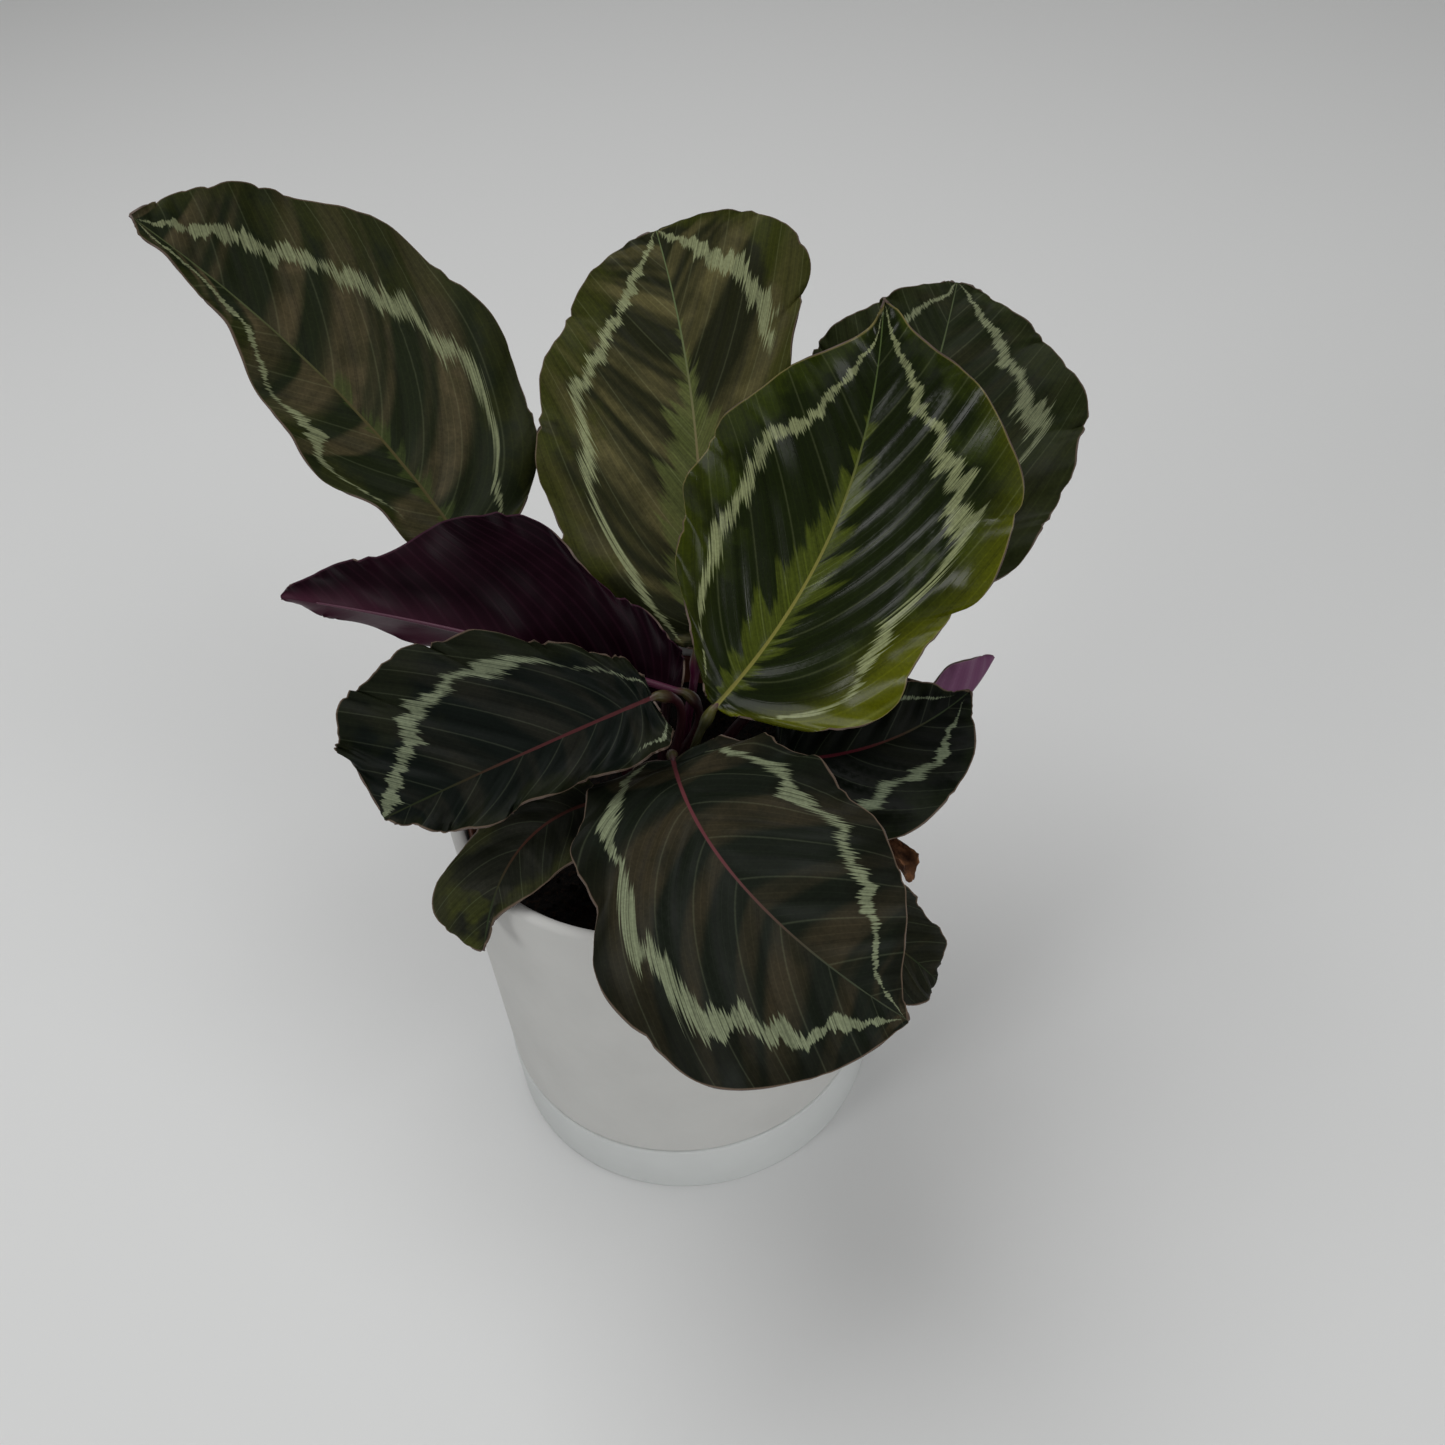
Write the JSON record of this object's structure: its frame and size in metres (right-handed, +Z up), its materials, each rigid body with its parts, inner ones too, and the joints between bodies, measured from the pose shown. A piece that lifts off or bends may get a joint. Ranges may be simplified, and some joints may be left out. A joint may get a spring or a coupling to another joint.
{
  "type": "potted medallion calathea",
  "caption": "Small calathea with broad, waved, round leaves on thin stalks, planted in a straight round cover pot that stands in its saucer.",
  "frame": {"origin": "middle of the saucer's underside, on the surface that the saucer stands on", "axes": "+Z up, -Y towards the front of the plant as pictured, +X to its right"},
  "size_m": [0.2755, 0.2549, 0.2911],
  "materials": {
    "saucer": "matt white, slightly cool",
    "pot": "matt white, slightly warm",
    "nursery_pot": "brown moulded plastic",
    "soil": "moist dark potting mix",
    "petiole": "smooth red stalk",
    "leaf": "satin dark green with a pale ring",
    "new_leaf": "glossy olive green with a pale ring",
    "dry_leaf": "dry brown leaf"
  },
  "bodies": {
    "root": {"saucer": "saucer", "pot": "pot", "nursery_pot": "nursery_pot", "soil": "soil", "petiole_back_left": "petiole", "blade_back_left": "leaf", "petiole_back_middle": "petiole", "blade_back_middle": "leaf", "petiole_new_right": "petiole", "blade_new_right": "new_leaf", "petiole_back_right": "petiole", "blade_back_right": "leaf", "petiole_burgundy_left": "petiole", "blade_burgundy_left": "leaf", "petiole_front_left": "petiole", "blade_front_left": "leaf", "petiole_small_left": "petiole", "blade_small_left": "leaf", "petiole_front": "petiole", "blade_front": "leaf", "petiole_right": "petiole", "blade_right": "leaf", "petiole_right_rolled": "petiole", "blade_right_rolled": "leaf", "petiole_small_right": "petiole", "blade_small_right": "leaf", "petiole_dry_right": "petiole", "blade_dry_right": "dry_leaf", "petiole_hidden_back": "petiole", "blade_hidden_back": "leaf"}
  },
  "joints": []
}
